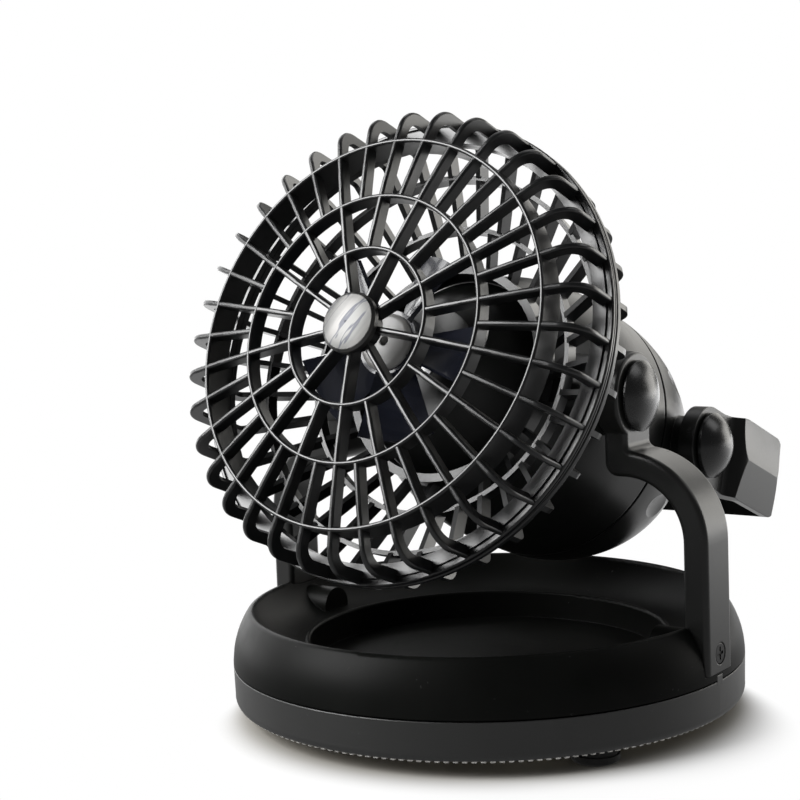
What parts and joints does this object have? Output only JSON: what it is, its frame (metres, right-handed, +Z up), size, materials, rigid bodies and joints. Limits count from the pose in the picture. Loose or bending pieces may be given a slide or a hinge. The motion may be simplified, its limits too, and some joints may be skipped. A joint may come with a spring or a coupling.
{
  "type": "camping fan with lamp base",
  "caption": "Camping fan on a round dished lamp base: tilting fan head with a ribbed guard held in a two-arm yoke, and a bail handle at the back to hang or carry it by.",
  "frame": {"origin": "on the base's vertical axis, in the plane the feet stand on", "axes": "+Z up, +X along the tilt pivot to the right as seen from the front, -Y towards the front of the fan"},
  "size_m": [0.1658, 0.1884, 0.1892],
  "materials": {
    "shell": "satin moulded black",
    "guard": "satin moulded black",
    "cap": "bright plated dome",
    "blades": "smoked gloss",
    "rotor_hub": "pale grey",
    "rubber": "matt black",
    "lens": "clear prismatic plastic",
    "white": "white reflector",
    "led": "clear LED",
    "board": "circuit board",
    "screw": "blackened steel",
    "steel": "plain steel",
    "motor": "plated can",
    "cell": "sleeved battery cell",
    "button": "soft grey button",
    "washer": "friction washer"
  },
  "bodies": {
    "base": {"base_upper_shell": "shell", "base_lower_shell": "shell", "lamp_lens": "lens", "lamp_reflector": "white", "led_board": "board", "lamp_leds": "led", "rubber_feet": "rubber", "base_screws": "screw", "yoke_arm_right": "shell", "yoke_arm_left": "shell", "arm_screws": "screw"},
    "head": {"front_grille": "guard", "hub_cap": "cap", "rear_grille": "guard", "motor_housing": "shell", "rear_cover": "shell", "cover_screws": "screw", "pivot_knob_right": "shell", "pivot_knob_left": "shell", "pivot_washers": "washer", "handle_knob_right": "shell", "handle_knob_left": "shell", "motor_can": "motor", "motor_screws": "screw", "battery_cells": "cell", "battery_tray": "white", "battery_contacts": "steel", "control_board": "board", "dc_socket": "rubber"},
    "rotor": {"rotor_hub": "rotor_hub", "fan_blades": "blades", "motor_shaft": "steel"},
    "handle": {"carry_handle": "shell"},
    "fan_switch": {"fan_button": "button"},
    "lamp_switch": {"lamp_button": "button"}
  },
  "joints": [
    {"name": "head_tilt", "type": "hinge", "parent": "base", "child": "head", "pos_m": [0, 0, 0.1014], "axis": [-1, 0, 0], "range_deg": [-36, 11]},
    {"name": "rotor_spin", "type": "hinge", "parent": "head", "child": "rotor", "pos_m": [0, 0, 0.1014], "axis": [0, -0.9291, 0.3697], "continuous": true},
    {"name": "handle_swing", "type": "hinge", "parent": "head", "child": "handle", "pos_m": [0, 0.05575, 0.07921], "axis": [1, 0, 0], "range_deg": [0, 90]},
    {"name": "fan_press", "type": "slide", "parent": "head", "child": "fan_switch", "axis": [0, -0.9291, 0.3697], "range_m": [0, 0.0015], "stiffness_N_per_m": 300, "springref_m": -0.0005},
    {"name": "lamp_press", "type": "slide", "parent": "head", "child": "lamp_switch", "axis": [0, -0.9291, 0.3697], "range_m": [0, 0.0015], "stiffness_N_per_m": 300, "springref_m": -0.0005}
  ]
}
